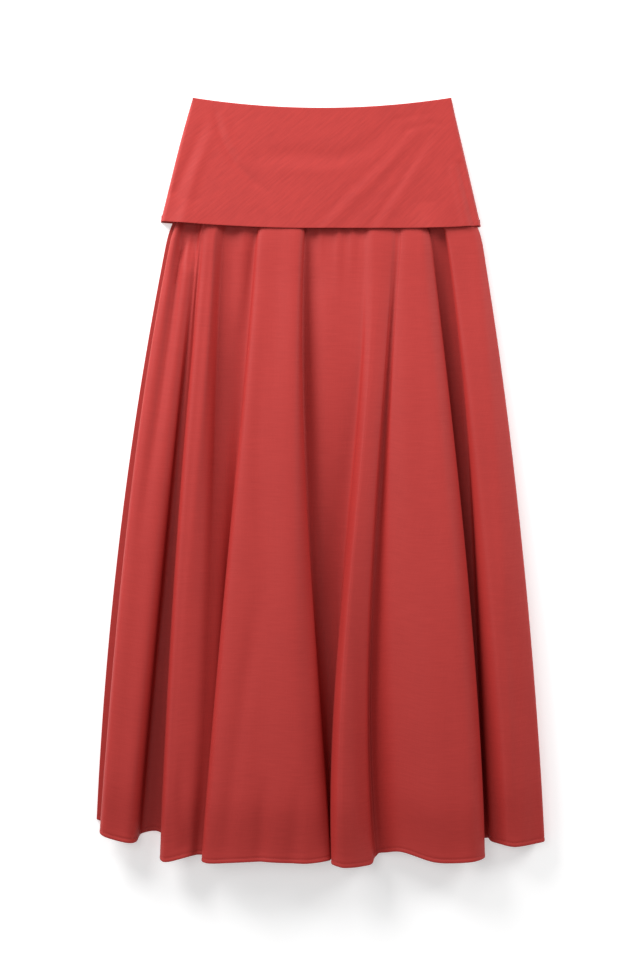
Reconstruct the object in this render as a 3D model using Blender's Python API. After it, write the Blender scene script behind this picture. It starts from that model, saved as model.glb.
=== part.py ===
"""Maxi skirt with a fold-over waist, laid flat on its back on a surface at z = 0.

The front faces +Z, the waist is towards +Y and the hem towards -Y. Each panel is a sheet of cloth: its
middle surface is worked out, in millimetres, from the cut and the folds below, and a Solidify modifier gives
it its wall. A waist panel starts at the hip seam, runs up as the yoke, rolls outward over the waist edge and
comes down again as the fold-over. From the surface up lie the back fold-over, the back yoke and skirt, the
front yoke and skirt, and the front fold-over.
"""

import math
from typing import NamedTuple

import bmesh
import bpy

MM = 0.001

# ---------------------------------------------------------------- cloth and layers, mm
CLOTH = 1.2  # wall of every panel
SEAM_GAP = 0.3  # between two panels sewn edge to edge
LAYER_GAP = 0.6  # between two layers that lie on each other
TURN_RADIUS = 1.3  # roll of the fold-over at the waist, to the middle of the wall
POPLIN_RED, POPLIN_ROUGHNESS = (0.55, 0.075, 0.065), 0.62

BACK_FLAP_Z = CLOTH / 2
BACK_YOKE_Z = BACK_FLAP_Z + 2 * TURN_RADIUS
FRONT_YOKE_Z = BACK_YOKE_Z + CLOTH + LAYER_GAP
FRONT_FLAP_Z = FRONT_YOKE_Z + 2 * TURN_RADIUS

# ---------------------------------------------------------------- cut of the waist, mm
WAIST_LEFT, WAIST_RIGHT = -164.0, 170.5  # the fold-over's top corners
WAIST_Y = 485.5  # top edge at the middle, where it dips
WAIST_DIP = 13.0  # how much higher its corners stand
FLAP_LEFT, FLAP_RIGHT = -206.0, 209.0  # the fold-over's bottom corners
FLAP_SIDE_BOW = 8.0  # how far its left side bows out
FLAP_EDGE_Y = 328.5  # its free edge, which runs level but for the left
FLAP_LEFT_LIFT = 9.0  # how much the left corner is drawn up
FLAP_LIFT_FROM = -25.0  # x where that lift begins
FLAP_RIGHT_LIFT = 3.5  # and the right corner
FLAP_RIGHT_LIFT_FROM = 130.0
FLAP_CREST_Z = 18.0  # the free edge rides over the gathered skirt
FLAP_SIDE_Z = 1.6  # its sides come down to the back fold-over
FLAP_SIDE_ROLL = (4.0, 7.0)  # breadth of the roll down its sides, at the waist and at the free edge
HIP_DOWN = 0.9  # the hip seam, as a share of the way from the waist to the free edge
YOKE_LEFT_INSET, YOKE_RIGHT_INSET = 16.5, 5.5  # the hip seam's ends inside the fold-over's sides

# ---------------------------------------------------------------- folds of the skirt
LEVELS = 4  # hip seam, thigh, knee and hem, evenly spaced down the cloth
SEAM_FLAT = 0.14  # share of a fold's height left at the gathered seam
SEAM_OPEN = 0.019  # share of the length below the seam where a fold has its full height and tucks
SEAM_SLOPE = 2.0  # width of the flanks at the seam, where nothing tucks under, mm
FOOT_ROLL = 2.5  # reach over which the cloth turns up from its foot, mm
BROW = 0.96  # share of a fold's height at its brows
BROAD_CREST = 45.0  # breadth between the brows at which its middle has the full height, mm
SEAM_DRAW = 0.03  # share by which the gathers draw the sides in at the seam
SEAM_DRAW_LENGTH = 22.0  # mm over which that eases off
STEP_START, STEP_LENGTH = 4.0, 70.0  # below the back fold-over the skirt sinks to the surface
HEM_DROOP, HEM_DROOP_FROM = 0.14, 0.9  # the folds sink by that share from there to the hem
ROW_CROWD = 0.86  # how much closer the rows of points stand near the gathers
FRONT_PIECE, FRONT_ROWS = 9.3, 20  # width of a piece across the front at most, mm, and rows of pieces
BACK_PIECE, BACK_ROWS = 30.0, 17


class Fold(NamedTuple):
    """One fold of the front skirt. Tuples of four hold a value at the hip, thigh, knee and hem, mm.

    left and right are the edges at half height. A foot is where the flank lands, measured from its edge and
    positive under the fold, so that a negative foot makes an open slope; a floor is how high the cloth lies
    there. A brow is how far inside its edge the flank levels out. hem holds the length reached by the left
    foot, edge and brow, the crest, and the right brow, edge and foot.
    """

    name: str
    left: tuple
    right: tuple
    height: tuple
    left_foot: tuple
    right_foot: tuple
    left_floor: tuple
    right_floor: tuple
    left_brow: tuple
    right_brow: tuple
    hem: tuple


class Valley(NamedTuple):
    """The cloth between two folds: share of the way across, height at the four levels, and length, mm."""

    share: float
    height: tuple
    hem: float


FRONT_FOLDS = (
    Fold("side", (-185, -231, -261, -283), (-159, -185, -211, -236), (9, 20, 31, 38), (2, 10, 16, 20),
         (-2, -3, -3, -4), (0, 0, 0, 0), (8, 5, 0, 0), (4, 5, 5, 5), (4, 8, 9, 9),
         (-445, -450, -454, -459.5, -463, -463.5, -456)),
    Fold("narrow", (-145, -173, -192, -205), (-129, -143, -155, -169), (8, 25, 38, 46), (-4, 6, 14, 20),
         (-6, -8, -15, -12), (8, 5, 0, 0), (0, 4, 22, 29), (4, 5, 5, 5), (6, 9, 18, 14),
         (-471, -482.5, -486, -485.5, -483.5, -480.5, -479)),
    Fold("wide", (-79, -103, -128, -151), (-18.5, -20.5, -5, 14), (9, 32, 46, 54), (0, 4, 14, 20),
         (0, 1, 1, -0.5), (3, 1, 6, 23), (0, 0, 3, 27), (4, 5, 5, 6), (5, 9, 20, 28),
         (-476, -484, -486.3, -484.5, -487, -484, -482)),
    Fold("roll", (64, 49.5, 23.5, 15), (95, 78, 61.5, 66), (8, 34, 52, 60), (-3, -2, 4, 8),
         (-4, -2, -3, -7), (3, 13, 0, 26), (6, 18, 18, 16), (5, 7, 8, 9), (8, 17, 25, 34),
         (-483, -488, -490, -491, -491.5, -490.5, -483)),
    Fold("broad", (109, 91, 91, 104), (141, 172, 198, 213), (9, 32, 46, 52), (-3, -4, -22, -26),
         (0, 10, 18, 20), (6, 18, 18, 16), (0, 0, 0, 0), (5, 15, 36, 42), (8, 14, 14, 14),
         (-479, -474.5, -485.5, -486.5, -484.6, -481, -468)),
    Fold("last", (160, 190, 208, 222), (205, 243, 271, 290), (8, 28, 39, 40), (3, 3, -4, -5),
         (3, 1, 1, 2), (0, 0, 0, 0), (0, 0, 0, 0), (3, 6, 14, 18), (6, 17, 29, 38),
         (-460, -463.5, -466.5, -467.5, -468, -463.5, -461)),
)
FRONT_VALLEYS = (
    Valley(0.5, (9, 5.5, 0, 0), -453.5),
    Valley(0.5, (2, 2, 17, 29), -479),
    Valley(0.35, (2, 8, 0, 25), -482),
    Valley(0.5, (6, 17.5, 18, 16), -480),
    Valley(0.5, (0, 0, 0, 0), -463),
)
SIDE_SEAM = (-190, -237, -270, -289)  # the left side seam, from which the front runs in under its first fold
SIDE_SEAM_HEM = -438.0


class Ridge(NamedTuple):
    """One low ridge of the back skirt, under a fold of the front. valley is as for a Fold."""

    name: str
    centre: tuple
    height: tuple
    hem: float
    valley: float


RIDGE_SPREAD = ((-12, 0.0), (-5, 0.5), (0, 1.0), (5, 0.5), (12, 0.0))  # mm from the centre, share of height
BACK_RIDGES = (
    Ridge("side", (-172, -200, -225, -246), (0, 5, 9, 12), -449, -450),
    Ridge("narrow", (-141, -143, -150, -162), (0, 4, 8, 10), -472, -476),
    Ridge("wide", (-52, -64, -70, -84), (0, 5, 9, 12), -480, -477),
    Ridge("broad", (118, 120, 122, 142), (0, 5, 9, 12), -474, -464),
    Ridge("last", (181, 216, 237, 249), (0, 4, 8, 10), -461, -461),
)


class Crease(NamedTuple):
    """A soft ridge, or a trough where the rise is negative, along a line through points of the plan, mm.

    Each point is (x, y, rise), and width is how far to its sides the crease dies away.
    """

    width: float
    points: tuple


SKIRT_CREASES = (
    # splits the side fold from the hip down
    Crease(6, ((-176, 345, -10), (-178, 312, -10), (-183, 280, -8), (-193, 200, -6), (-209, 80, -4),
               (-236, -100, 0))),
    Crease(9, ((-165, 350, -10), (-165, 310, -8), (-168, 272, 0))),  # hollow under the fold-over beside it
    Crease(5, ((1, 352, 3), (-1, 262, 0))),  # gathers of the hollow beside the wide fold
    Crease(5, ((26, 352, 3), (22, 230, 0))),
    Crease(5, ((43, 352, 3), (41, 255, 0))),
    Crease(10, ((-98, 352, 3), (-100, 300, 4.5), (-103, 240, 2), (-106, 190, 0))),  # before the wide fold
    Crease(6, ((170, 352, -2), (180, 270, 0))),
    Crease(11, ((-76, -130, 0), (-92, -240, -2.4), (-103, -320, -2.4), (-114, -420, -3), (-120, -480, -1))),
    Crease(9, ((238, -130, 0), (244, -200, -2), (252, -300, -2.2), (252, -400, -1.8), (250, -460, -1))),
)

FLAP_CREASES = (
    Crease(7, ((-186, 375, -1.2), (-166, 425, -1.0), (-150, 465, -0.4))),  # hollow along the left side
    Crease(7, ((-178, 335, 0.8), (-160, 400, 1.2), (-142, 446, 0.6))),
    Crease(7, ((-136, 478, -0.7), (-127, 445, -1.1), (-110, 413, -1.1), (-84, 387, -0.7), (-51, 367, 0))),
    Crease(11, ((-77, 421, -0.6), (-25, 424, -1.4), (27, 420, -1.4), (59, 432, -1.2), (98, 464, -0.5))),
    Crease(7, ((0, 322, 0.8), (50, 374, 1.1), (92, 416, 1.1), (130, 462, 0.5))),  # drawn up to the corner
    Crease(7, ((60, 322, -0.8), (96, 375, -1.0), (120, 412, -0.9), (146, 450, -0.4))),
    Crease(7, ((182, 412, -1.2), (190, 375, -2.6), (201, 330, -2.8))),  # tuck beside the right seam
)


# ---------------------------------------------------------------- curves
def between(a, b, share):
    return a + (b - a) * share


def smooth_step(x):
    x = min(max(x, 0.0), 1.0)
    return x * x * (3 - 2 * x)


def at_level(values, t):
    """The value at t, 0 at the hip seam and 1 at the hem, on the cubic through a column's four values."""
    knots = [k / (LEVELS - 1) for k in range(LEVELS)]
    total = 0.0
    for i, value in enumerate(values):
        weight = 1.0
        for j, knot in enumerate(knots):
            if j != i:
                weight *= (t - knot) / (knots[i] - knot)
        total += value * weight
    return total


def blend(a, b, share):
    return [between(p, q, share) for p, q in zip(a, b)]


def spline(points, counts):
    """Points of a centripetal Catmull-Rom curve through the given ones, with counts pieces to the gaps."""
    first = blend(points[0], points[1], -1.0)
    last = blend(points[-1], points[-2], -1.0)
    padded = [first, *points, last]
    curve = []
    for k, count in enumerate(counts):
        p = padded[k : k + 4]
        knots = [0.0]
        for a, b in zip(p, p[1:]):
            knots.append(knots[-1] + max(math.dist(a[:2], b[:2]), 0.05) ** 0.5)
        for n in range(count):
            u = between(knots[1], knots[2], n / count)
            near = [blend(p[i], p[i + 1], (u - knots[i]) / (knots[i + 1] - knots[i])) for i in range(3)]
            far = [blend(near[i], near[i + 1], (u - knots[i]) / (knots[i + 2] - knots[i])) for i in range(2)]
            curve.append(blend(*far, (u - knots[1]) / (knots[2] - knots[1])))
    curve.append(list(points[-1]))
    return curve


def crease_rise(creases, x, y):
    """How far the creases lift the cloth at that point of the plan."""
    total = 0.0
    for crease in creases:
        nearest, rise = 3 * crease.width, 0.0
        for (ax, ay, a_rise), (bx, by, b_rise) in zip(crease.points, crease.points[1:]):
            run_x, run_y = bx - ax, by - ay
            along = ((x - ax) * run_x + (y - ay) * run_y) / (run_x**2 + run_y**2)
            along = min(max(along, 0.0), 1.0)
            off = math.dist((x, y), (ax + along * run_x, ay + along * run_y))
            if off < nearest:
                nearest, rise = off, between(a_rise, b_rise, along)
        total += rise * math.exp(-((nearest / crease.width) ** 2))
    return total


# ---------------------------------------------------------------- plan of the waist
def waist_y(x):
    half = (WAIST_RIGHT - WAIST_LEFT) / 2
    return WAIST_Y + WAIST_DIP * ((x - (WAIST_LEFT + WAIST_RIGHT) / 2) / half) ** 2 - TURN_RADIUS


def flap_edge_y(x):
    lift = max(FLAP_LIFT_FROM - x, 0.0) / (FLAP_LIFT_FROM - FLAP_LEFT)
    right_lift = max(x - FLAP_RIGHT_LIFT_FROM, 0.0) / (FLAP_RIGHT - FLAP_RIGHT_LIFT_FROM)
    return FLAP_EDGE_Y + FLAP_LEFT_LIFT * lift**1.6 + FLAP_RIGHT_LIFT * right_lift**1.6


def hip_y(x):
    return between(waist_y(x), flap_edge_y(x), HIP_DOWN)


def flap_sides(down):
    """Left and right edge of the fold-over, down from 0 at the waist to 1 at its free edge."""
    bow = FLAP_SIDE_BOW * down * (1 - down) ** 2
    return between(WAIST_LEFT, FLAP_LEFT, down) - bow, between(WAIST_RIGHT, FLAP_RIGHT, down)


def yoke_sides(down):
    left, right = flap_sides(down)
    inset = 1 - math.exp(-down / 0.2)
    return left + YOKE_LEFT_INSET * inset, right - YOKE_RIGHT_INSET * inset


# ---------------------------------------------------------------- waist panels
def waist_sheet(yoke_z, flap_z, flap_height, columns, yoke_rows, turn_rows, flap_rows):
    """Grid of points of a waist panel: rows run up the yoke, round the turn and down the fold-over."""
    shares = [0.5 - 0.5 * math.cos(math.pi * k / columns) for k in range(columns + 1)]
    grid = []
    for row in range(yoke_rows):
        down = HIP_DOWN * (1 - row / yoke_rows)
        left, right = yoke_sides(down)
        xs = [between(left, right, share) for share in shares]
        grid.append([(x, between(waist_y(x), flap_edge_y(x), down), yoke_z) for x in xs])
    xs = [between(WAIST_LEFT, WAIST_RIGHT, share) for share in shares]
    for step in range(turn_rows):
        angle = math.pi * step / turn_rows
        turn_z = between(yoke_z, flap_z, 0.5 - 0.5 * math.cos(angle))
        grid.append([(x, waist_y(x) + TURN_RADIUS * math.sin(angle), turn_z) for x in xs])
    for row in range(flap_rows + 1):
        down = row / flap_rows
        left, right = flap_sides(down)
        line = []
        for x in [between(left, right, share) for share in shares]:
            y = between(waist_y(x), flap_edge_y(x), down)
            line.append((x, y, flap_height(x, y, down)))
        grid.append(line)
    return grid


def front_flap_height(x, y, down):
    """The front fold-over leaves the waist level and rides over the skirt; its sides roll to the back."""
    left, right = flap_sides(down)
    crest = between(FRONT_FLAP_Z, FLAP_CREST_Z, down**1.1)
    side = between(FRONT_FLAP_Z, FLAP_SIDE_Z, smooth_step(down * 5))
    inside = min(max(min(x - left, right - x) / between(*FLAP_SIDE_ROLL, down), 0.0), 1.0)
    roll = math.sqrt(1 - (1 - inside) ** 2)
    ease = smooth_step(down * 6) * smooth_step(inside)
    return between(side, crest, roll) + ease * crease_rise(FLAP_CREASES, x, y)


def back_flap_height(x, y, down):
    return BACK_FLAP_Z


# ---------------------------------------------------------------- skirt panels
def back_skirt_z(x, y):
    """Middle of the back skirt where it has no ridge: over the back fold-over, then down on the surface."""
    below = flap_edge_y(x) - STEP_START - y
    return between(BACK_YOKE_Z, CLOTH / 2, smooth_step(below / STEP_LENGTH))


def front_skirt_z(x, y):
    return back_skirt_z(x, y) + CLOTH + LAYER_GAP


def flank(foot, top, floor):
    """Reach of a flank's foot, and the reach and height at which the cloth has turned up from it."""
    turn = foot if foot > 0 else 0.7 * foot
    rise = top - floor
    return min(foot, turn - FOOT_ROLL), turn, floor + min(max(0.12 * rise, 2.0), 0.3 * rise)


def fold_stations(fold, t):
    """(x, height, hem y) of the points that a fold's section runs through at t, left foot to right foot."""
    opened = smooth_step(t / SEAM_OPEN)
    lifted = between(SEAM_FLAT, 1.0, opened)
    left, right = at_level(fold.left, t), at_level(fold.right, t)
    top = at_level(fold.height, t) * lifted
    left_floor = max(at_level(fold.left_floor, t), 0.0) * lifted
    right_floor = max(at_level(fold.right_floor, t), 0.0) * lifted
    left_brow = left + at_level(fold.left_brow, t)
    right_brow = right - at_level(fold.right_brow, t)
    foot = between(-SEAM_SLOPE, at_level(fold.left_foot, t), opened)
    left_foot, left_turn, left_z = flank(foot, top, left_floor)
    foot = between(-SEAM_SLOPE, at_level(fold.right_foot, t), opened)
    right_foot, right_turn, right_z = flank(foot, top, right_floor)
    crest = between(BROW, 1.0, min((right_brow - left_brow) / BROAD_CREST, 1.0)) * top
    hem = fold.hem
    return [
        (left + left_foot, left_floor, hem[0]),
        (left + left_turn, left_z, between(hem[0], hem[1], 0.3)),
        (left, between(left_floor, top, 0.55), hem[1]),
        (left_brow, BROW * top, hem[2]),
        (between(left_brow, right_brow, 0.5), crest, hem[3]),
        (right_brow, BROW * top, hem[4]),
        (right, between(right_floor, top, 0.55), hem[5]),
        (right - right_turn, right_z, between(hem[6], hem[5], 0.3)),
        (right - right_foot, right_floor, hem[6]),
    ]


def front_section(t):
    """Section of the front at t, as (x, height, hem y), from its left side seam to its right one."""
    stations = [(at_level(SIDE_SEAM, t), 0.0, SIDE_SEAM_HEM)]
    lifted = between(SEAM_FLAT, 1.0, smooth_step(t / SEAM_OPEN))
    for fold, valley in zip(FRONT_FOLDS, (None, *FRONT_VALLEYS)):
        own = fold_stations(fold, t)
        if valley:
            middle = between(stations[-1][0], own[0][0], valley.share)
            stations.append((middle, max(at_level(valley.height, t), 0.0) * lifted, valley.hem))
        stations += own
    return stations


def back_section(t):
    """Section of the back, from and to the same side seams as the front."""
    stations = [(at_level(SIDE_SEAM, t), 0.0, SIDE_SEAM_HEM)]
    for number, ridge in enumerate(BACK_RIDGES):
        centre, top = at_level(ridge.centre, t), at_level(ridge.height, t)
        stations += [(centre + off, share * top, ridge.hem) for off, share in RIDGE_SPREAD]
        if number + 1 < len(BACK_RIDGES):
            next_centre = at_level(BACK_RIDGES[number + 1].centre, t)
            stations.append((between(centre, next_centre, 0.5), 0.0, ridge.valley))
    stations.append(fold_stations(FRONT_FOLDS[-1], t)[-1])
    return stations


def skirt_sheet(section, lie, creases, piece_length, rows):
    """Grid of points of a skirt panel: rows from the hip seam down, columns from left to right."""
    counts = []
    for at_hip, at_hem in zip(gap_lengths(section(SEAM_OPEN)), gap_lengths(section(1.0))):
        counts.append(max(1, round(max(at_hip, at_hem) / piece_length)))
    grid = []
    for row in range(rows + 1):
        t = row / rows
        t = between(t, t * t, ROW_CROWD)
        line = []
        for x, height, hem_y in spline(section(t), counts):
            top_y = hip_y(x * (1 - SEAM_DRAW)) - SEAM_GAP
            y = between(top_y, hem_y, t)
            down = top_y - y
            crease = crease_rise(creases, x, y) * between(SEAM_FLAT, 1.0, smooth_step(t / SEAM_OPEN))
            height *= 1 - HEM_DROOP * smooth_step((t - HEM_DROOP_FROM) / (1 - HEM_DROOP_FROM))
            height = max(height + crease, 0.0)
            x *= 1 - SEAM_DRAW * math.exp(-((down / SEAM_DRAW_LENGTH) ** 2))
            line.append((x, y, lie(x, y) + height))
        grid.append(line)
    return grid


def gap_lengths(stations):
    return [math.dist(a[:2], b[:2]) for a, b in zip(stations, stations[1:])]


# ---------------------------------------------------------------- objects
def cloth_material(name, color, roughness):
    material = bpy.data.materials.new(name)
    material.use_nodes = True
    shader = material.node_tree.nodes["Principled BSDF"]
    shader.inputs["Base Color"].default_value = (*color, 1.0)
    shader.inputs["Roughness"].default_value = roughness
    shader.inputs["Metallic"].default_value = 0.0
    return material


def cloth_panel(name, grid):
    """One panel as an object: a sheet through the grid's points, thickened on both sides."""
    rows, columns = len(grid) - 1, len(grid[0]) - 1
    sheet = bmesh.new()
    bmesh.ops.create_grid(sheet, x_segments=columns, y_segments=rows, size=0.5)
    for vertex in sheet.verts:
        column = round((vertex.co.x + 0.5) * columns)
        row = round((0.5 - vertex.co.y) * rows)
        vertex.co = [value * MM for value in grid[row][column]]
    bmesh.ops.triangulate(sheet, faces=sheet.faces[:], quad_method="SHORT_EDGE")
    mesh = bpy.data.meshes.new(name)
    sheet.to_mesh(mesh)
    sheet.free()
    mesh.materials.append(cloth_material(f"{name}_poplin", POPLIN_RED, POPLIN_ROUGHNESS))
    mesh.shade_smooth()
    panel = bpy.data.objects.new(name, mesh)
    bpy.context.scene.collection.objects.link(panel)
    wall = panel.modifiers.new("wall", "SOLIDIFY")
    wall.thickness = CLOTH * MM
    wall.offset = 0.0
    return panel


def build():
    for obj in list(bpy.data.objects):
        bpy.data.objects.remove(obj)
    garment = bpy.data.objects.new("maxi_skirt", None)
    bpy.context.scene.collection.objects.link(garment)
    panels = {
        "skirt_front": skirt_sheet(front_section, front_skirt_z, SKIRT_CREASES, FRONT_PIECE, FRONT_ROWS),
        "skirt_back": skirt_sheet(back_section, back_skirt_z, (), BACK_PIECE, BACK_ROWS),
        "waist_front": waist_sheet(
            FRONT_YOKE_Z, FRONT_FLAP_Z, front_flap_height, columns=28, yoke_rows=5, turn_rows=4, flap_rows=12
        ),
        "waist_back": waist_sheet(
            BACK_YOKE_Z, BACK_FLAP_Z, back_flap_height, columns=18, yoke_rows=4, turn_rows=4, flap_rows=4
        ),
    }
    for name, grid in panels.items():
        cloth_panel(name, grid).parent = garment


build()
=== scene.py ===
"""Looks of the maxi skirt: four cloth panels in slubbed cotton poplin, sewn and laid flat with the front up.

Lengths are in millimetres until a mesh is made. The front faces +Z, the waist is towards +Y and the hem
towards -Y, as in the frame that the panels are fitted to.
"""

import math
from typing import NamedTuple

import bmesh
import bpy
from mathutils import Matrix, Vector, noise


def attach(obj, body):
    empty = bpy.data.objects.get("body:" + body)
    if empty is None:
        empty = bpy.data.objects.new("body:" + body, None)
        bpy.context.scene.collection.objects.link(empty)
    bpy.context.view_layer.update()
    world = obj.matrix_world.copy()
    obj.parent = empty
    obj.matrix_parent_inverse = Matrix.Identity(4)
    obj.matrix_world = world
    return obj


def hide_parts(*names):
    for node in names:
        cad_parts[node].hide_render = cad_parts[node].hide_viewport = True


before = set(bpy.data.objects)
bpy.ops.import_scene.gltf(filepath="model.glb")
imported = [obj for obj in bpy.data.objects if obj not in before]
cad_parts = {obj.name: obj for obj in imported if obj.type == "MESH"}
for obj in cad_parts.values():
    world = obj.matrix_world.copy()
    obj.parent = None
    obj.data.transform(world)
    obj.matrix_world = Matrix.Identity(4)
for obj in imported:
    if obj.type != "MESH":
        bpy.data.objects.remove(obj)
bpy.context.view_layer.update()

# ================================================================ Back waist panel
# One bias-cut piece of poplin: it runs up from the hip seam as the yoke, rolls outward over the waist edge
# and comes down again as the fold-over, whose free edge is turned under. It lies flat on the surface.

MM = 0.001
CLOTH = 0.4  # the poplin itself
WALL = 1.2  # room that each layer of the laid skirt takes, its nap and air included
TURN_RADIUS = 1.3  # roll of the fold-over at the waist

BACK_FLAP_Z = WALL / 2
BACK_YOKE_Z = BACK_FLAP_Z + 2 * TURN_RADIUS

WAIST_LEFT, WAIST_RIGHT = -164.0, 170.5  # the fold-over's top corners
WAIST_Y = 485.5  # top edge at the middle, where it dips
WAIST_DIP = 13.0  # how much higher its corners stand
FLAP_LEFT, FLAP_RIGHT = -206.0, 209.0  # its bottom corners
FLAP_SIDE_BOW = 8.0  # how far its left side bows out
FLAP_EDGE_Y = 328.5  # its free edge, which runs level but for the corners
FLAP_LEFT_LIFT = 9.0  # how much the left corner is drawn up
FLAP_LEFT_LIFT_FROM = -25.0  # x where that lift begins
FLAP_RIGHT_LIFT = 3.5  # and the right corner
FLAP_RIGHT_LIFT_FROM = 130.0
FLAP_LIFT_POWER = 1.6  # 1 lifts them evenly from there, and more lifts the corner itself most
HIP_DOWN = 0.9  # the hip seam, as a share of the way from the waist to the free edge
YOKE_LEFT_INSET, YOKE_RIGHT_INSET = 16.5, 5.5  # the hip seam's ends inside the fold-over's sides
YOKE_INSET_DOWN = 0.2  # share of the way down over which the yoke draws in
SIDE_CROWD = 0.35  # 0 spaces the columns of points evenly, and 1 crowds them most at the sides
BACK_EDGE_ROLL = 0.2  # roll of the back's turned edges, pressed flat as the front lies on them
FLAP_TURNING = 9.0  # depth of cloth turned under along the free edge
ROLL_PIECES, TURNING_PIECES = 5, 3  # pieces round a turned edge's roll and back up its turning
YOKE_ROWS, TURN_ROWS, FLAP_ROWS = 20, 10, 100  # the same at the front, which is sewn to the back
BACK_WAIST_COLUMNS = 90
SHARP_FROM = 60.0  # degrees between faces from which an edge of the cloth shows as sharp


def between(a, b, share):
    return a + (b - a) * share


def eased(share):
    """From 0 to 1 with a slow start and a slow end."""
    return 0.5 - 0.5 * math.cos(math.pi * share)


def waist_y(x):
    half = (WAIST_RIGHT - WAIST_LEFT) / 2
    return WAIST_Y + WAIST_DIP * ((x - (WAIST_LEFT + WAIST_RIGHT) / 2) / half) ** 2 - TURN_RADIUS


def flap_edge_y(x):
    left = max(FLAP_LEFT_LIFT_FROM - x, 0.0) / (FLAP_LEFT_LIFT_FROM - FLAP_LEFT)
    right = max(x - FLAP_RIGHT_LIFT_FROM, 0.0) / (FLAP_RIGHT - FLAP_RIGHT_LIFT_FROM)
    return FLAP_EDGE_Y + FLAP_LEFT_LIFT * left**FLAP_LIFT_POWER + FLAP_RIGHT_LIFT * right**FLAP_LIFT_POWER


def flap_sides(down):
    """Left and right edge of the fold-over, down from 0 at the waist to 1 at its free edge."""
    bow = FLAP_SIDE_BOW * down * (1 - down) ** 2
    return between(WAIST_LEFT, FLAP_LEFT, down) - bow, between(WAIST_RIGHT, FLAP_RIGHT, down)


def yoke_sides(down):
    left, right = flap_sides(down)
    inset = 1 - math.exp(-down / YOKE_INSET_DOWN)
    return left + YOKE_LEFT_INSET * inset, right - YOKE_RIGHT_INSET * inset


def waist_sheet(yoke_z, flap_z, flap_height, columns):
    """Points of a waist panel: rows run up the yoke, round the turn and down the fold-over.

    Each point is (x, y, z, painted highlight), the last being how much painted highlight it gets. flap_height
    gives the fold-over's z at a point, from its x and y and the share of the way down.
    """
    shares = [between(k / columns, eased(k / columns), SIDE_CROWD) for k in range(columns + 1)]
    grid = []
    for row in range(YOKE_ROWS):
        down = HIP_DOWN * (1 - row / YOKE_ROWS)
        left, right = yoke_sides(down)
        xs = [between(left, right, share) for share in shares]
        grid.append([(x, between(waist_y(x), flap_edge_y(x), down), yoke_z, 0.0) for x in xs])
    xs = [between(WAIST_LEFT, WAIST_RIGHT, share) for share in shares]
    for row in range(TURN_ROWS):
        rise = TURN_RADIUS * math.sin(math.pi * row / TURN_ROWS)
        turn_z = between(yoke_z, flap_z, eased(row / TURN_ROWS))
        grid.append([(x, waist_y(x) + rise, turn_z, 0.0) for x in xs])
    for row in range(FLAP_ROWS + 1):
        down = row / FLAP_ROWS
        left, right = flap_sides(down)
        line = []
        for x in [between(left, right, share) for share in shares]:
            y = between(waist_y(x), flap_edge_y(x), down)
            line.append((x, y, flap_height(x, y, down), 0.0))
        grid.append(line)
    return grid


def edge_frame(grid, column, rows_up=1):
    """Direction down the cloth, from the row that far up, and the sheet's normal, at its last row."""
    last, above = grid[-1], grid[-1 - rows_up]
    across = Vector(last[min(column + 1, len(last) - 1)][:3]) - Vector(last[max(column - 1, 0)][:3])
    down = Vector(last[column][:3]) - Vector(above[column][:3])
    down -= down.project(across)
    down.normalize()
    return down, across.cross(down).normalized() * -1


def turn_under(grid, roll, depth, side=1, rows_up=1):
    """The sheet with its last edge rolled under, towards -side of its normal, and run back up by depth."""
    frames = [edge_frame(grid, column, rows_up) for column in range(len(grid[-1]))]
    edge = grid[-1]
    angles = [math.pi * k / ROLL_PIECES for k in range(1, ROLL_PIECES + 1)]
    path = [(roll * math.sin(angle), roll * (1 - math.cos(angle))) for angle in angles]
    path += [(-depth * k / TURNING_PIECES, 2 * roll) for k in range(1, TURNING_PIECES + 1)]
    for reach, sink in path:
        line = []
        for point, (down, up) in zip(edge, frames):
            line.append((*(Vector(point[:3]) + down * reach - up * sink * side), point[3]))
        grid.append(line)
    return grid


def placed(name, form):
    """The finished form as an object of the scene, under that name. The form itself is freed."""
    mesh = bpy.data.meshes.new(name)
    form.to_mesh(mesh)
    form.free()
    piece = bpy.data.objects.new(name, mesh)
    bpy.context.scene.collection.objects.link(piece)
    return piece


def cloth_panel(name, grid):
    """One panel as an object: a thin shell through the grid's points.

    Its UV map "cut" gives each point's place on the flat cloth, across and down, in metres, and its float
    attribute is 1 where a painted highlight runs along a crisp fold edge.
    """
    rows, columns = len(grid) - 1, len(grid[0]) - 1
    flat_down = 0.0
    places = []
    for row, line in enumerate(grid):
        if row:
            flat_down += math.dist(line[columns // 2][:3], grid[row - 1][columns // 2][:3])
        run = [0.0]
        for a, b in zip(line, line[1:]):
            run.append(run[-1] + math.dist(a[:3], b[:3]))
        places.append([((s - run[-1] / 2) * MM, -flat_down * MM) for s in run])
    shell = bmesh.new()
    cut = shell.loops.layers.uv.new("cut")
    # share of painted highlight: paler colour along crisp fold edges, standing in for the light they catch
    edge_highlight = shell.verts.layers.float.new("edge_highlight")
    bmesh.ops.create_grid(shell, x_segments=columns, y_segments=rows, size=0.5)
    # that is one unit across and down, so each vertex's place tells its row and column
    for vertex in shell.verts:
        row, column = round((0.5 - vertex.co.y) * rows), round((vertex.co.x + 0.5) * columns)
        x, y, z, highlight_share = grid[row][column]
        for loop in vertex.link_loops:
            loop[cut].uv = places[row][column]
        vertex[edge_highlight] = max(highlight_share, 0.0)
        vertex.co = (x * MM, y * MM, z * MM)
    shell.normal_update()
    bmesh.ops.solidify(shell, geom=shell.faces[:], thickness=CLOTH * MM)
    panel = placed(name, shell)
    panel.data.shade_smooth()
    panel.data.set_sharp_from_angle(angle=math.radians(SHARP_FROM))
    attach(panel, "root")
    return panel


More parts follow.
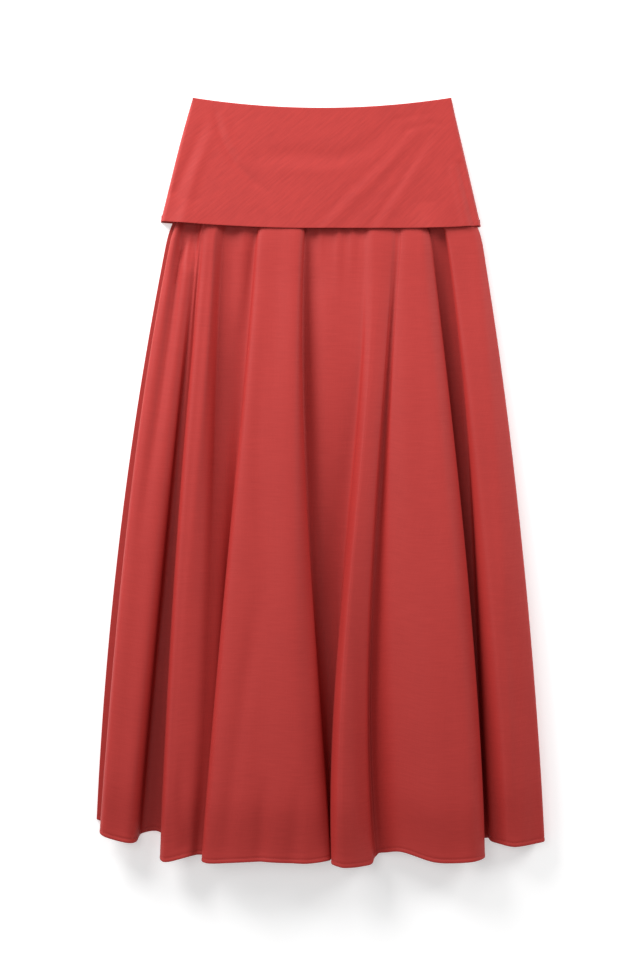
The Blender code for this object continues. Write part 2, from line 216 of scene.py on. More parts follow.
class Wire:
    """The output of a shader node. Arithmetic on it adds Math nodes."""

    def __init__(self, socket):
        self.socket = socket

    def add(self, kind, settings, sockets, output=0):
        """A new node of that kind in the same tree, with its settings, then its sockets' values or links."""
        tree = self.socket.id_data
        node = tree.nodes.new(kind)
        for name, value in settings.items():
            setattr(node, name, value)
        for name, value in sockets.items():
            if isinstance(value, Wire):
                tree.links.new(value.socket, node.inputs[name])
            else:
                node.inputs[name].default_value = value
        return Wire(node.outputs[output])

    def mix(self, low, high):
        """The colour at this share of the way from low to high."""
        return self.add("ShaderNodeMix", {"data_type": "RGBA"}, {0: self, 6: low, 7: high}, output=2)

    def math(self, operation, a, b):
        return self.add("ShaderNodeMath", {"operation": operation}, {0: a, 1: b})

    def __add__(self, other):
        return self.math("ADD", self, other)

    __radd__ = __add__

    def __sub__(self, other):
        return self.math("SUBTRACT", self, other)

    def __rsub__(self, other):
        return self.math("SUBTRACT", other, self)

    def __mul__(self, other):
        return self.math("MULTIPLY", self, other)

    __rmul__ = __mul__


POPLIN_RED = (0.430, 0.026, 0.021)  # the face of its threads, as linear light
POPLIN_DEEP = (0.360, 0.019, 0.016)  # between them
POPLIN_HIGHLIGHT = (0.620, 0.150, 0.120)  # painted highlight: paler colour along a crisp fold edge, where it catches the light
BIAS = 42.0  # degrees that the waist panels' threads stand off the waist
BIAS_SLUB = 0.8  # how much the thickest threads show, which is more where light meets them slantwise


def poplin(name, thread_angle, slub):
    """Slubbed cotton poplin: uneven weft threads across the cut, a fine plain weave, a faint cloudiness."""
    material = bpy.data.materials.new(name)
    material.use_nodes = True
    tree = material.node_tree
    shader = tree.nodes["Principled BSDF"]
    cut = Wire(tree.nodes.new("ShaderNodeUVMap").outputs["UV"])
    cut.socket.node.uv_map = "cut"
    turned = (0, 0, math.radians(thread_angle))
    threads = cut.add("ShaderNodeMapping", {}, {"Vector": cut, "Rotation": turned})

    def streaks(across, down, detail):
        """Noise on the flat cloth, so many waves to the metre across and down it."""
        stretched = threads.add("ShaderNodeMapping", {}, {"Vector": threads, "Scale": (across, down, 1)})
        return stretched.add(
            "ShaderNodeTexNoise",
            {"noise_dimensions": "2D"},
            {"Vector": stretched, "Scale": 1.0, "Detail": detail, "Roughness": 0.6},
        )

    thick = streaks(38, 330, 1.0)  # the slubs that show from a step away
    slubs = streaks(34, 800, 3.0)
    warp = streaks(760, 16, 2.0)
    clouds = streaks(9, 14, 2.0)
    weave = streaks(2200, 2200, 0.0)
    tone = (thick - 0.5) * (1.5 * slub) + (slubs - 0.5) * 0.7 + 0.62
    tone = tone + (warp - 0.5) * 0.4 + (clouds - 0.5) * 0.5
    red = tone.mix((*POPLIN_DEEP, 1), (*POPLIN_RED, 1))
    # painted highlight: the cloth turns paler along crisp fold edges, as if they caught the light
    edge_highlight = red.add("ShaderNodeAttribute", {"attribute_name": "edge_highlight"}, {}, output=2)
    highlighted = (edge_highlight * edge_highlight * edge_highlight * 0.6).mix(red, (*POPLIN_HIGHLIGHT, 1))
    tree.links.new(highlighted.socket, shader.inputs["Base Color"])
    tree.links.new((0.74 - slubs * 0.14).socket, shader.inputs["Roughness"])
    relief = thick * (0.9 * slub) + slubs * 0.45 + warp * 0.35 + weave * 0.15
    bump = relief.add("ShaderNodeBump", {}, {"Strength": 0.6, "Distance": 0.00025, "Height": relief})
    tree.links.new(bump.socket, shader.inputs["Normal"])
    shader.inputs["Specular IOR Level"].default_value = 0.42
    return material


def back_flap_height(x, y, down):
    """The back's fold-over lies flat on the surface all over."""
    return BACK_FLAP_Z


waist_back_grid = waist_sheet(BACK_YOKE_Z, BACK_FLAP_Z, back_flap_height, BACK_WAIST_COLUMNS)
waist_back = cloth_panel("waist_back_cloth", turn_under(waist_back_grid, BACK_EDGE_ROLL, FLAP_TURNING, -1))
waist_back.data.materials.append(poplin("poplin_bias_back", BIAS, BIAS_SLUB))
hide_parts("waist_back")

# ================================================================ Back of the skirt
# A flared panel of the same poplin with its threads level, gathered into the hip seam and hemmed narrow. It
# lies on the surface, lifted into low ridges under the front's big folds.

LEVEL_SLUB = 0.3  # how much the thickest threads show in level cloth
SEAM_GAP = 0.3  # between two panels sewn edge to edge
LEVELS = 4  # hip seam, thigh, knee and hem, evenly spaced down the cloth
SEAM_FLAT = 0.14  # share of a fold's height left at the gathered seam
SEAM_OPEN = 0.019  # share of the length below the seam where a fold has its full height and tucks
SEAM_DRAW = 0.03  # share by which the gathers draw the sides in at the seam
SEAM_DRAW_LENGTH = 22.0  # how far down the skirt that eases off
STEP_START, STEP_LENGTH = 4.0, 70.0  # below the back fold-over the skirt sinks to the surface
SIDE_SEAM = (-190, -237, -270, -289)  # the left side seam at the four levels
SIDE_SEAM_HEM = -438.0
HEM_TURNING = 6.0  # depth of cloth turned under along the hem
HEM_DROOP = 0.14  # share of their height by which the folds sink towards the hem
HEM_DROOP_FROM = 0.9  # share of the length where that begins
SKIRT_ROWS = 112  # rows of pieces, the same at the back and the front, which are sewn together
ROW_EVENNESS = 0.22  # 1 spaces the rows evenly, and less brings them closer near the gathers
FEWEST_PIECES = 3  # between two neighbouring stations of a section
BACK_PIECE = 4.5  # length of a piece across the back
WAVER_ACROSS, WAVER_DOWN = 34.0, 190.0  # length of the cloth's slow waves
WAVER_SLICE = 0.7  # which slice of the noise they are
WAVER_FULL, WAVER_LEAST = 12.0, 0.25  # height of cloth that wavers in full, and the share left on the floor
LEAST_GAP = 0.05  # between a curve's points, so that its knots never fall together
CREASE_REACH = 3  # widths from a crease at which it has died away
RIDGE_SPREAD = ((-12, 0.0), (-5, 0.5), (0, 1.0), (5, 0.5), (12, 0.0))  # from the centre, share of height


def smooth_step(x):
    x = min(max(x, 0.0), 1.0)
    return x * x * (3 - 2 * x)


def hip_y(x):
    return between(waist_y(x), flap_edge_y(x), HIP_DOWN)


class Ridge(NamedTuple):
    """One low ridge of the back, under a fold of the front.

    centre and height are its place and height at the four levels, and hem is the y that it reaches. valley is
    the y reached by the flat cloth between it and the next ridge.
    """

    name: str
    centre: tuple
    height: tuple
    hem: float
    valley: float


BACK_RIDGES = (
    Ridge("side", (-172, -200, -225, -246), (0, 5, 9, 12), -449, -450),
    Ridge("narrow", (-141, -143, -150, -162), (0, 4, 8, 10), -472, -476),
    Ridge("wide", (-52, -64, -70, -84), (0, 5, 9, 12), -480, -477),
    Ridge("broad", (118, 120, 122, 142), (0, 5, 9, 12), -474, -464),
    Ridge("last", (181, 216, 237, 249), (0, 4, 8, 10), -461, -461),
)


class Crease(NamedTuple):
    """A soft ridge, or a trough where the rise is negative, along a line through points of the plan.

    Each point is (x, y, rise), and width is how far to its sides the crease dies away.
    """

    width: float
    points: tuple


def at_level(values, t):
    """The value at t, 0 at the hip seam and 1 at the hem, on the cubic through a column's four values."""
    knots = [k / (LEVELS - 1) for k in range(LEVELS)]
    total = 0.0
    for i, value in enumerate(values):
        weight = 1.0
        for j, knot in enumerate(knots):
            if j != i:
                weight *= (t - knot) / (knots[i] - knot)
        total += value * weight
    return total


def blend(a, b, share):
    return [between(p, q, share) for p, q in zip(a, b)]


def spline(points, counts):
    """Points of a centripetal Catmull-Rom curve through the given ones, with counts pieces to the gaps."""
    first = blend(points[0], points[1], -1.0)
    last = blend(points[-1], points[-2], -1.0)
    padded = [first, *points, last]
    curve = []
    for k, count in enumerate(counts):
        p = padded[k : k + 4]
        knots = [0.0]
        for a, b in zip(p, p[1:]):
            knots.append(knots[-1] + max(math.dist(a[:2], b[:2]), LEAST_GAP) ** 0.5)
        for n in range(count):
            u = between(knots[1], knots[2], n / count)
            near = [blend(p[i], p[i + 1], (u - knots[i]) / (knots[i + 1] - knots[i])) for i in range(3)]
            far = [blend(near[i], near[i + 1], (u - knots[i]) / (knots[i + 2] - knots[i])) for i in range(2)]
            curve.append(blend(*far, (u - knots[1]) / (knots[2] - knots[1])))
    curve.append(list(points[-1]))
    return curve


def crease_rise(creases, x, y):
    """How far the creases lift the cloth at that point of the plan."""
    total = 0.0
    for crease in creases:
        nearest, rise = CREASE_REACH * crease.width, 0.0
        for (ax, ay, a_rise), (bx, by, b_rise) in zip(crease.points, crease.points[1:]):
            run_x, run_y = bx - ax, by - ay
            along = ((x - ax) * run_x + (y - ay) * run_y) / (run_x**2 + run_y**2)
            along = min(max(along, 0.0), 1.0)
            off = math.dist((x, y), (ax + along * run_x, ay + along * run_y))
            if off < nearest:
                nearest, rise = off, between(a_rise, b_rise, along)
        total += rise * math.exp(-((nearest / crease.width) ** 2))
    return total


def unevenness(x, y):
    """Slow random waver of the cloth, at most about 1 either way."""
    return noise.noise(Vector((x / WAVER_ACROSS, y / WAVER_DOWN, WAVER_SLICE)))


def back_skirt_z(x, y):
    """Middle of the back where it has no ridge: over the back fold-over, then down on the surface."""
    below = flap_edge_y(x) - STEP_START - y
    return between(BACK_YOKE_Z, WALL / 2, smooth_step(below / STEP_LENGTH))


def back_section(t):
    """Section of the back at t, as (x, height, hem y, painted highlight), from the left side seam to the
    right one.
    """
    stations = [(at_level(SIDE_SEAM, t), 0.0, SIDE_SEAM_HEM, 0.0)]
    for number, ridge in enumerate(BACK_RIDGES):
        centre, top = at_level(ridge.centre, t), at_level(ridge.height, t)
        stations += [(centre + off, share * top, ridge.hem, 0.0) for off, share in RIDGE_SPREAD]
        if number + 1 < len(BACK_RIDGES):
            next_centre = at_level(BACK_RIDGES[number + 1].centre, t)
            stations.append((between(centre, next_centre, 0.5), 0.0, ridge.valley, 0.0))
    stations.append((*fold_stations(FRONT_FOLDS[-1], t)[-1][:3], 0.0))
    return stations


def gap_lengths(stations):
    return [math.dist(a[:2], b[:2]) for a, b in zip(stations, stations[1:])]


def skirt_sheet(section, lie, creases, piece_length, waver):
    """Points of a skirt panel: rows from the hip seam down, columns from left to right.

    section gives the stations across it at a level, lie the height of its floor at a point of the plan, and
    waver the height of its slow waves.
    """
    counts = []
    for at_hip, at_hem in zip(gap_lengths(section(SEAM_OPEN)), gap_lengths(section(1.0))):
        counts.append(max(FEWEST_PIECES, round(max(at_hip, at_hem) / piece_length)))
    grid = []
    for row in range(SKIRT_ROWS + 1):
        t = row / SKIRT_ROWS
        t = between(t * t, t, ROW_EVENNESS)
        line = []
        opened = smooth_step(t / SEAM_OPEN)
        for x, height, hem_y, edge_highlight in spline(section(t), counts):
            top_y = hip_y(x * (1 - SEAM_DRAW)) - SEAM_GAP
            y = between(top_y, hem_y, t)
            down = top_y - y
            crease = crease_rise(creases, x, y) * between(SEAM_FLAT, 1.0, opened)
            raised = smooth_step(height / WAVER_FULL + WAVER_LEAST)
            crease += waver * opened * unevenness(x, y) * raised
            height *= 1 - HEM_DROOP * smooth_step((t - HEM_DROOP_FROM) / (1 - HEM_DROOP_FROM))
            height = max(height + crease, 0.0)
            x *= 1 - SEAM_DRAW * math.exp(-((down / SEAM_DRAW_LENGTH) ** 2))
            line.append((x, y, lie(x, y) + height, edge_highlight * opened))
        grid.append(line)
    return grid


# The hem's stitching draws the turned cloth down: mm above the edge, and how far the cloth stands out
HEM_PROFILE = (
    (12.0, 0.0), (9.0, 0.0), (7.2, -0.02), (6.2, -0.1), (5.5, -0.24),
    (5.0, -0.3), (4.5, -0.22), (3.7, 0.0), (2.6, 0.15), (1.3, 0.15),
)
STITCHED_AT = 5.0  # the row of that profile that the stitches run along
STITCH_PITCH = 3.0
STITCH_SIZE = (2.2, 0.55, 0.4)  # along the row, across it, and through the cloth


def stitched_edge(grid, name, side=1):
    """The sheet with the hem's profile along its edge, and a row of machine stitches on its outside.

    The outside is the side that the sheet's normals face, or for a side of -1 the other one.
    """
    last, above = grid[-1], grid[-2]
    frames = [edge_frame(grid, column) for column in range(len(last))]
    rows = []
    for up, rise in HEM_PROFILE:
        line = []
        for a, b, (_, normal) in zip(last, above, frames):
            share = up / math.dist(a[:3], b[:3])
            point = Vector(blend(a[:3], b[:3], share)) + normal * rise * side
            line.append((*point, between(a[3], b[3], share)))
        rows.append(line)
        if up == STITCHED_AT:
            stitches = stitch_row(name, line, [normal * side for _, normal in frames])
    return [*grid[:-1], *rows, last], stitches


def stitch_row(name, line, normals):
    """A row of stitches along a line of points, sunk in the cloth by half, as one object."""
    runs = [math.dist(a[:3], b[:3]) for a, b in zip(line, line[1:])]
    length = sum(runs)
    thread = bmesh.new()
    at, passed, gap = STITCH_PITCH / 2, 0.0, 0
    while at < length:
        while passed + runs[gap] < at:
            passed += runs[gap]
            gap += 1
        a, b = Vector(line[gap][:3]), Vector(line[gap + 1][:3])
        along = (b - a).normalized()
        out = (normals[gap] - normals[gap].project(along)).normalized()
        place = a.lerp(b, (at - passed) / runs[gap]) + out * CLOTH / 2
        turn = Matrix((along, out.cross(along), out)).transposed().to_4x4()
        stitch = Matrix.Translation(place * MM) @ turn @ Matrix.Diagonal((*STITCH_SIZE, 1))
        bmesh.ops.create_icosphere(thread, subdivisions=2, radius=MM / 2, matrix=stitch)
        at += STITCH_PITCH
    stitches = placed(name, thread)
    stitches.data.shade_smooth()
    stitches.data.materials.append(stitching_thread)
    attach(stitches, "root")
    return stitches


stitching_thread = bpy.data.materials.new("stitching_thread")
stitching_thread.use_nodes = True
thread_shader = stitching_thread.node_tree.nodes["Principled BSDF"]
thread_shader.inputs["Base Color"].default_value = (*POPLIN_DEEP, 1)
thread_shader.inputs["Roughness"].default_value = 0.5

# The back's right edge is sewn to the foot of the front's last fold, so the front's folds are set out here.
SEAM_SLOPE = 2.0  # width of the flanks at the seam, where nothing tucks under
FOOT_ROLL = 2.5  # reach over which the cloth turns up from its foot
OPEN_TURN = 0.7  # on an open slope, the share of the foot's reach at which it has turned up
TURN_RISE = 0.12  # share of a flank's rise at which it has turned up
TURN_RISE_LEAST, TURN_RISE_MOST = 2.0, 0.3  # at least so high, but never more than that share of the rise
TURN_HEM = 0.3  # share of the way from the foot's hem y to the edge's that the hem has come there
EDGE_RISE = 0.55  # share of a flank's rise at the fold's edge
BROW = 0.96  # share of a fold's height at its brows
BROAD_CREST = 45.0  # breadth between the brows at which its middle has the full height


class Fold(NamedTuple):
    """One fold of the front skirt. Tuples of four hold a value at the hip, thigh, knee and hem.

    left and right are the edges, about half way up. A foot is where the flank lands, measured from its edge
    and positive under the fold, so that a negative foot makes an open slope; a floor is how high the cloth
    lies there. A brow is how far inside its edge the flank levels out. hem holds the y that is reached by the
    left foot, edge and brow, the crest, and the right brow, edge and foot. The last field is how much painted
    highlight, paler colour standing in for the light that a crisp edge catches, runs down the left edge.
    """

    name: str
    left: tuple
    right: tuple
    height: tuple
    left_foot: tuple
    right_foot: tuple
    left_floor: tuple
    right_floor: tuple
    left_brow: tuple
    right_brow: tuple
    hem: tuple
    edge_highlight: float


FRONT_FOLDS = (
    # only the side fold has a painted highlight, paler colour down its crisp left edge
    Fold("side", (-185, -231, -261, -283), (-159, -185, -211, -236), (9, 20, 31, 38), (2, 10, 16, 20),
         (-2, -3, -3, -4), (0, 0, 0, 0), (8, 5, 0, 0), (4, 5, 5, 5), (4, 8, 9, 9),
         (-445, -450, -454, -459.5, -463, -463.5, -456), 0.8),
    Fold("narrow", (-145, -173, -192, -205), (-129, -143, -155, -169), (8, 25, 38, 46), (-4, 6, 14, 20),
         (-6, -8, -15, -12), (8, 5, 0, 0), (0, 4, 22, 29), (4, 5, 5, 5), (6, 9, 18, 14),
         (-471, -482.5, -486, -485.5, -483.5, -480.5, -479), 0.0),
    Fold("wide", (-79, -103, -128, -151), (-18.5, -20.5, -5, 14), (9, 32, 46, 54), (0, 4, 14, 20),
         (0, 1, 1, -0.5), (3, 1, 6, 23), (0, 0, 3, 27), (4, 5, 5, 6), (5, 9, 20, 28),
         (-476, -484, -486.3, -484.5, -487, -484, -482), 0.0),
    Fold("roll", (64, 49.5, 23.5, 15), (95, 78, 61.5, 66), (8, 34, 52, 60), (-3, -2, 4, 8),
         (-4, -2, -3, -7), (3, 13, 0, 26), (6, 18, 18, 16), (5, 7, 8, 9), (8, 17, 25, 34),
         (-483, -488, -490, -491, -491.5, -490.5, -483), 0.0),
    Fold("broad", (109, 91, 91, 104), (141, 172, 198, 213), (9, 32, 46, 52), (-3, -4, -22, -26),
         (0, 10, 18, 20), (6, 18, 18, 16), (0, 0, 0, 0), (5, 15, 36, 42), (8, 14, 14, 14),
         (-479, -474.5, -485.5, -486.5, -484.6, -481, -468), 0.0),
    Fold("last", (160, 190, 208, 222), (205, 243, 271, 290), (8, 28, 39, 40), (3, 3, -4, -5),
         (3, 1, 1, 2), (0, 0, 0, 0), (0, 0, 0, 0), (3, 6, 14, 18), (6, 17, 29, 38),
         (-460, -463.5, -466.5, -467.5, -468, -463.5, -461), 0.0),
)


def flank(foot, top, floor):
    """Reach of a flank's foot, and the reach and height at which the cloth has turned up from it."""
    turn = foot if foot > 0 else OPEN_TURN * foot
    rise = top - floor
    turned_up = min(max(TURN_RISE * rise, TURN_RISE_LEAST), TURN_RISE_MOST * rise)
    return min(foot, turn - FOOT_ROLL), turn, floor + turned_up


def fold_stations(fold, t):
    """(x, height, hem y, painted highlight) of the points that a fold's section runs through at t, left to
    right foot.
    """
    opened = smooth_step(t / SEAM_OPEN)
    lifted = between(SEAM_FLAT, 1.0, opened)
    left, right = at_level(fold.left, t), at_level(fold.right, t)
    top = at_level(fold.height, t) * lifted
    left_floor = max(at_level(fold.left_floor, t), 0.0) * lifted
    right_floor = max(at_level(fold.right_floor, t), 0.0) * lifted
    left_brow = left + at_level(fold.left_brow, t)
    right_brow = right - at_level(fold.right_brow, t)
    foot = between(-SEAM_SLOPE, at_level(fold.left_foot, t), opened)
    left_foot, left_turn, left_z = flank(foot, top, left_floor)
    foot = between(-SEAM_SLOPE, at_level(fold.right_foot, t), opened)
    right_foot, right_turn, right_z = flank(foot, top, right_floor)
    crest = between(BROW, 1.0, min((right_brow - left_brow) / BROAD_CREST, 1.0)) * top
    hem = fold.hem
    return [
        (left + left_foot, left_floor, hem[0], 0.0),
        (left + left_turn, left_z, between(hem[0], hem[1], TURN_HEM), 0.0),
        # the left edge carries the fold's painted highlight
        (left, between(left_floor, top, EDGE_RISE), hem[1], fold.edge_highlight),
        (left_brow, BROW * top, hem[2], 0.0),
        (between(left_brow, right_brow, 0.5), crest, hem[3], 0.0),
        (right_brow, BROW * top, hem[4], 0.0),
        (right, between(right_floor, top, EDGE_RISE), hem[5], 0.0),
        (right - right_turn, right_z, between(hem[6], hem[5], TURN_HEM), 0.0),
        (right - right_foot, right_floor, hem[6], 0.0),
    ]


BACK_CREASES = (
    # soft ridges that run up into the gathers
    Crease(6, ((-96, 352, 1.6), (-101, 270, 1.6), (-105, 215, 0))),
    Crease(5, ((-28, 352, 1.4), (-24, 290, 2.0), (-19, 215, 0))),
    Crease(7, ((12, 352, 1.5), (15, 240, 2.8), (17, 90, 1.8), (16, -60, 0))),
    Crease(5, ((58, 352, 1.8), (62, 285, 2.2), (69, 180, 0))),
    Crease(6, ((92, 352, 1.2), (96, 300, 1.8), (101, 250, 0))),
    Crease(6, ((134, 352, 1.4), (142, 280, 2.0), (156, 170, 1.2), (163, 90, 0))),
    # and some from the hem up
    Crease(10, ((-18, -150, 0), (-14, -300, 2.4), (-10, -478, 3.2))),
    Crease(9, ((46, -60, 0), (54, -260, 2.6), (58, -475, 2.2))),
    Crease(8, ((150, -190, 0), (163, -330, 2.2), (172, -460, 2.8))),
)

skirt_back_grid, back_stitches = stitched_edge(
    skirt_sheet(back_section, back_skirt_z, BACK_CREASES, BACK_PIECE, waver=0.0), "hem_stitches_back", side=-1
)
skirt_back = cloth_panel(
    "skirt_back_cloth",
    turn_under(skirt_back_grid, BACK_EDGE_ROLL, HEM_TURNING, side=-1, rows_up=len(HEM_PROFILE) + 1),
)
skirt_back.data.materials.append(poplin("poplin_level_back", 0, LEVEL_SLUB))
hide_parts("skirt_back")

# ================================================================ Front of the skirt
# The flared front panel, gathered into the hip seam, fuller than the back: it stands in six big soft folds
# that open towards the narrow machine-stitched hem.

LAYER_GAP = 0.6  # between two layers that lie on each other
FRONT_PIECE = 3.7  # length of a piece across the front
FRONT_WAVER = 1.2  # height of its slow waves
EDGE_ROLL = 0.42  # roll of the front's turned edges
SEAM_PIECES = 6  # pieces across a seam's turned cloth
SEAM_BULGE = 0.6  # how far it stands out


class Valley(NamedTuple):
    """The cloth between two folds: share of the way across, height there at the four levels, and hem y."""

    share: float
    height: tuple
    hem: float


FRONT_VALLEYS = (
    Valley(0.5, (9, 5.5, 0, 0), -453.5),
    Valley(0.5, (2, 2, 17, 29), -479),
    Valley(0.35, (2, 8, 0, 25), -482),
    Valley(0.5, (6, 17.5, 18, 16), -480),
    Valley(0.5, (0, 0, 0, 0), -463),
)

SKIRT_CREASES = (
    # splits the side fold from the hip down
    Crease(6, ((-176, 345, -12), (-178, 312, -12), (-183, 280, -8), (-193, 200, -6), (-209, 80, -4),
               (-236, -100, 0))),
    Crease(9, ((-165, 350, -10), (-165, 310, -8), (-168, 272, 0))),  # hollow under the fold-over beside it
    Crease(4, ((1, 352, 3.2), (-1, 262, 0))),  # gathers of the hollow beside the wide fold
    Crease(4, ((26, 352, 3.4), (22, 230, 0))),
    Crease(4, ((43, 352, 3.4), (41, 255, 0))),
    Crease(10, ((-98, 352, 3), (-100, 300, 4.5), (-103, 240, 2), (-106, 190, 0))),  # beside the wide fold
    Crease(6, ((170, 352, -2), (180, 270, 0))),
    # soft hollows of the wide fold, and the slope of the rolled one
    Crease(9, ((-70, 240, 0), (-80, 60, -1.2), (-78, -50, -0.8), (-72, -110, 0))),
    Crease(11, ((-76, -130, 0), (-92, -240, -2.4), (-103, -320, -2.4), (-114, -420, -3), (-120, -480, -1))),
    Crease(9, ((-68, -370, 0), (-74, -430, -3.2), (-76, -480, -4.2))),
    Crease(10, ((-26, -370, 0), (-31, -440, -2.6), (-34, -482, -3))),
    Crease(13, ((-6, -290, 0), (1, -380, -3), (4, -440, -2.4), (4, -484, -1))),
    Crease(12, ((50, -130, 0), (55, -240, -3.5), (58, -350, -5.5), (61, -430, -5.5), (61, -488, -4))),
    # and of the last and the narrow one
    Crease(14, ((260, -180, 0), (270, -320, -3), (276, -420, -4), (278, -462, -4))),
    Crease(9, ((203, -140, 0), (215, -260, -3), (222, -340, -4.5), (229, -430, -4.5), (230, -464, -3.5))),
    Crease(9, ((238, -130, 0), (244, -200, -2), (252, -300, -2.2), (252, -400, -1.8), (250, -460, -1))),
    Crease(8, ((-176, -340, 0), (-178, -410, -3), (-172, -470, -3))),
)


def front_skirt_z(x, y):
    return back_skirt_z(x, y) + WALL + LAYER_GAP


def front_section(t):
    """Section of the front at t, from its left side seam to its right one."""
    stations = [(at_level(SIDE_SEAM, t), 0.0, SIDE_SEAM_HEM, 0.0)]
    lifted = between(SEAM_FLAT, 1.0, smooth_step(t / SEAM_OPEN))
    for fold, valley in zip(FRONT_FOLDS, (None, *FRONT_VALLEYS)):
        own = fold_stations(fold, t)
        if valley:
            middle = between(stations[-1][0], own[0][0], valley.share)
            stations.append((middle, max(at_level(valley.height, t), 0.0) * lifted, valley.hem, 0.0))
        stations += own
    return stations


def seam_strip(name, rows, other_rows, column):
    """The turned cloth of the seam between two sheets' edges, bulging outward, as one object."""
    outward = SEAM_BULGE if column else -SEAM_BULGE
    grid = []
    for row, other_row in zip(rows, other_rows):
        line = []
        for k in range(SEAM_PIECES + 1):
            share = k / SEAM_PIECES
            x, y, z, edge_highlight = blend(row[column], other_row[column], share)
            line.append((x + outward * math.sin(math.pi * share), y, z, edge_highlight))
        grid.append(line)
    return cloth_panel(name, grid)


skirt_front_grid, front_stitches = stitched_edge(
    skirt_sheet(front_section, front_skirt_z, SKIRT_CREASES, FRONT_PIECE, FRONT_WAVER), "hem_stitches_front"
)
side_seams = [
    seam_strip("side_seam_left", skirt_back_grid, skirt_front_grid, 0),
    seam_strip("side_seam_right", skirt_front_grid, skirt_back_grid, -1),
]
skirt_front = cloth_panel(
    "skirt_front_cloth",
    turn_under(skirt_front_grid, EDGE_ROLL, HEM_TURNING, rows_up=len(HEM_PROFILE) + 1),
)
skirt_front.data.materials.append(poplin("poplin_level_front", 0, LEVEL_SLUB))
for seam in side_seams:
    seam.data.materials.append(skirt_front.data.materials[0])
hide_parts("skirt_front")

# ================================================================ Front waist panel
# The same bias-cut piece as at the back. Its fold-over rides over the gathered skirt, so the free edge stands
# clear of the hollows between the folds and its sides come down to the back fold-over.

FRONT_YOKE_Z = BACK_YOKE_Z + WALL + LAYER_GAP
FRONT_FLAP_Z = FRONT_YOKE_Z + 2 * TURN_RADIUS
FLAP_CREST_Z = 18.0  # its free edge rides over the gathered skirt
FLAP_RIDE_POWER = 1.1  # 1 climbs there evenly, and more climbs later
FLAP_SIDE_Z = 2.4  # its sides come down to the back fold-over
FLAP_SIDE_DOWN = 1 / 5  # share of the way to the free edge by which they are down
FLAP_SIDE_ROLL = (2.5, 5.0)  # breadth of the roll down its sides, at the waist and at the free edge
FLAP_CREASES_IN = 1 / 6  # share of the way by which its creases have their full height
FRONT_WAIST_COLUMNS = 170
FLAP_CREASES = (
    Crease(7, ((-186, 375, -1.2), (-166, 425, -1.0), (-150, 465, -0.4))),  # hollow along the left side
    Crease(7, ((-178, 335, 0.8), (-160, 400, 1.2), (-142, 446, 0.6))),
    Crease(5, ((-136, 478, -0.7), (-127, 445, -1.1), (-110, 413, -1.1), (-84, 387, -0.7), (-51, 367, 0))),
    Crease(6, ((-126, 476, 0.5), (-117, 446, 0.7), (-100, 417, 0.5), (-76, 394, 0))),
    Crease(12, ((-77, 421, -0.5), (-25, 424, -1.2), (27, 420, -1.2), (59, 432, -1.0), (98, 464, -0.4))),
    Crease(8, ((-50, 406, 0.3), (0, 402, 0.5), (40, 406, 0.3))),
    Crease(7, ((-12, 322, -0.4), (42, 379, -0.6), (84, 418, -0.6), (118, 458, -0.4))),  # to the corner
    Crease(9, ((0, 322, 0.6), (50, 374, 0.9), (92, 416, 0.9), (130, 462, 0.5))),
    Crease(7, ((26, 322, -0.3), (72, 373, -0.5), (104, 411, -0.5), (128, 440, -0.2))),
    Crease(6, ((60, 322, -0.6), (96, 375, -0.8), (120, 412, -0.7), (146, 450, -0.3))),
    Crease(9, ((72, 322, 0.5), (106, 372, 0.8), (130, 410, 0.7), (152, 448, 0.3))),
    Crease(4, ((98, 470, -0.4), (130, 477, -0.5), (152, 479, -0.2))),  # small ones at the right corner
    Crease(4, ((112, 455, -0.4), (142, 465, -0.4), (160, 462, -0.2))),
    Crease(4, ((182, 412, -1.0), (190, 375, -2.2), (201, 330, -3.0))),  # tuck beside the right seam
    Crease(5, ((172, 405, 0.8), (180, 370, 1.2), (190, 325, 1.2))),
    Crease(20, ((-172, 325, 4.0), (-168, 365, 0))),  # the free edge lifts off the hollows beside the folds
    Crease(18, ((146, 320, 4.0), (142, 362, 0))),
)


def front_flap_height(x, y, down):
    """The fold-over leaves the waist level and rides over the skirt; its sides roll down to the back."""
    left, right = flap_sides(down)
    crest = between(FRONT_FLAP_Z, FLAP_CREST_Z, down**FLAP_RIDE_POWER)
    side = between(FRONT_FLAP_Z, FLAP_SIDE_Z, smooth_step(down / FLAP_SIDE_DOWN))
    inside = min(max(min(x - left, right - x) / between(*FLAP_SIDE_ROLL, down), 0.0), 1.0)
    roll = math.sqrt(1 - (1 - inside) ** 2)
    ease = smooth_step(down / FLAP_CREASES_IN) * smooth_step(inside)
    return between(side, crest, roll) + ease * crease_rise(FLAP_CREASES, x, y)


waist_front_grid = waist_sheet(FRONT_YOKE_Z, FRONT_FLAP_Z, front_flap_height, FRONT_WAIST_COLUMNS)
waist_seams = [
    seam_strip("waist_seam_left", waist_back_grid, waist_front_grid, 0),
    seam_strip("waist_seam_right", waist_front_grid, waist_back_grid, -1),
]
waist_front = cloth_panel("waist_front_cloth", turn_under(waist_front_grid, EDGE_ROLL, FLAP_TURNING))
waist_front.data.materials.append(poplin("poplin_bias_front", -BIAS, BIAS_SLUB))
for seam in waist_seams:
    seam.data.materials.append(waist_front.data.materials[0])
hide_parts("waist_front")

# ================================================================ Surface, light and camera
# A plain white table with the skirt laid on it, soft low lamps beyond the waist to its left and right, a
# higher one on the left, a white room around, and the camera straight above.

# The places and sizes of the table, the lamps and the camera are in metres
TABLE_REACH = 4.0
TABLE_Z = -0.0005
TABLE_WHITE, TABLE_GLOW = 0.86, 0.37
LAMP_AIM = Vector((0.0, 0.1, 0.0))
ROOM_LIGHT = 0.32
CAMERA_X, CAMERA_Y, CAMERA_HEIGHT = 0.00065, 0.00325, 2.6
IMAGE_HEIGHT_PX = 959
TABLE_MM_PER_PX = 1.30
SENSOR = 36.0  # mm

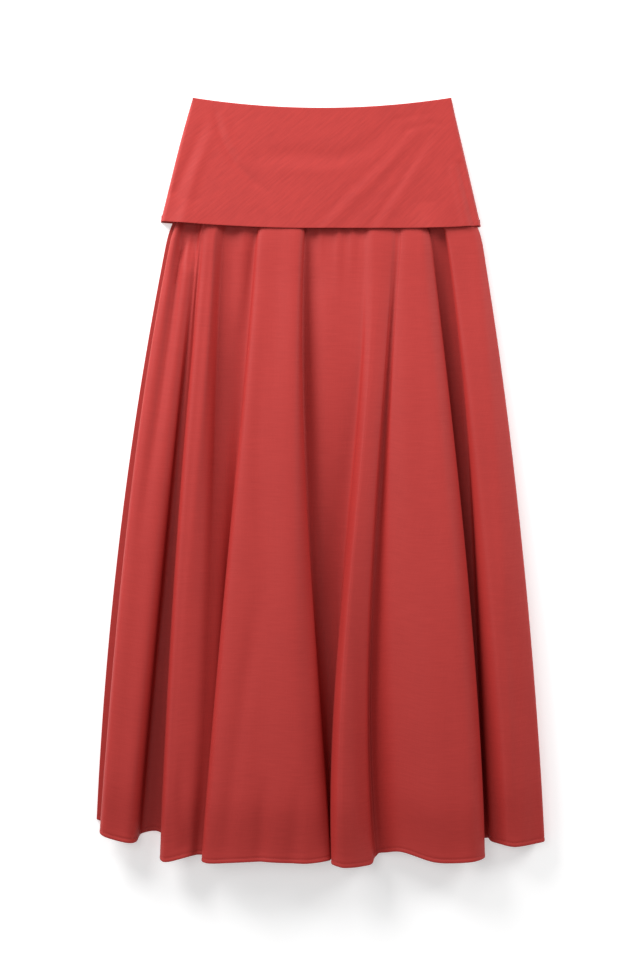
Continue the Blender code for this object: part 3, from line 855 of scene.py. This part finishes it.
table_top = bmesh.new()
bmesh.ops.create_grid(table_top, x_segments=1, y_segments=1, size=TABLE_REACH)
bmesh.ops.translate(table_top, verts=table_top.verts[:], vec=(0, 0, TABLE_Z))
table = placed("table", table_top)
table_white = bpy.data.materials.new("table_white")
table_white.use_nodes = True
table_shader = table_white.node_tree.nodes["Principled BSDF"]
table_shader.inputs["Base Color"].default_value = (TABLE_WHITE, TABLE_WHITE, TABLE_WHITE, 1)
table_shader.inputs["Roughness"].default_value = 0.9
table_shader.inputs["Specular IOR Level"].default_value = 0.0
table_shader.inputs["Emission Color"].default_value = (1, 1, 1, 1)
table_shader.inputs["Emission Strength"].default_value = TABLE_GLOW
table.data.materials.append(table_white)

for name, place, size, power in (
    ("low_left_lamp", (-1.28, 1.63, 0.93), 1.2, 59.0),
    ("low_right_lamp", (1.63, 1.12, 1.06), 1.1, 27.0),
    ("high_left_lamp", (-0.68, 0.20, 2.10), 1.0, 8.0),
):
    lamp_data = bpy.data.lights.new(name, "AREA")
    lamp_data.shape = "DISK"
    lamp_data.size = size
    lamp_data.energy = power
    lamp = bpy.data.objects.new(name, lamp_data)
    lamp.location = place
    lamp.rotation_euler = (LAMP_AIM - lamp.location).to_track_quat("-Z", "Y").to_euler()
    bpy.context.scene.collection.objects.link(lamp)

room = bpy.data.worlds.new("white_room")
room.use_nodes = True
room.node_tree.nodes["Background"].inputs["Color"].default_value = (1.0, 1.0, 1.0, 1)
room.node_tree.nodes["Background"].inputs["Strength"].default_value = ROOM_LIGHT
bpy.context.scene.world = room
bpy.context.scene.view_settings.view_transform = "Standard"

camera_data = bpy.data.cameras.new("camera")
camera_data.sensor_width = SENSOR
camera_data.lens = SENSOR * CAMERA_HEIGHT / (IMAGE_HEIGHT_PX * TABLE_MM_PER_PX * MM)
camera = bpy.data.objects.new("camera", camera_data)
camera.location = (CAMERA_X, CAMERA_Y, CAMERA_HEIGHT)
bpy.context.scene.collection.objects.link(camera)
bpy.context.scene.camera = camera
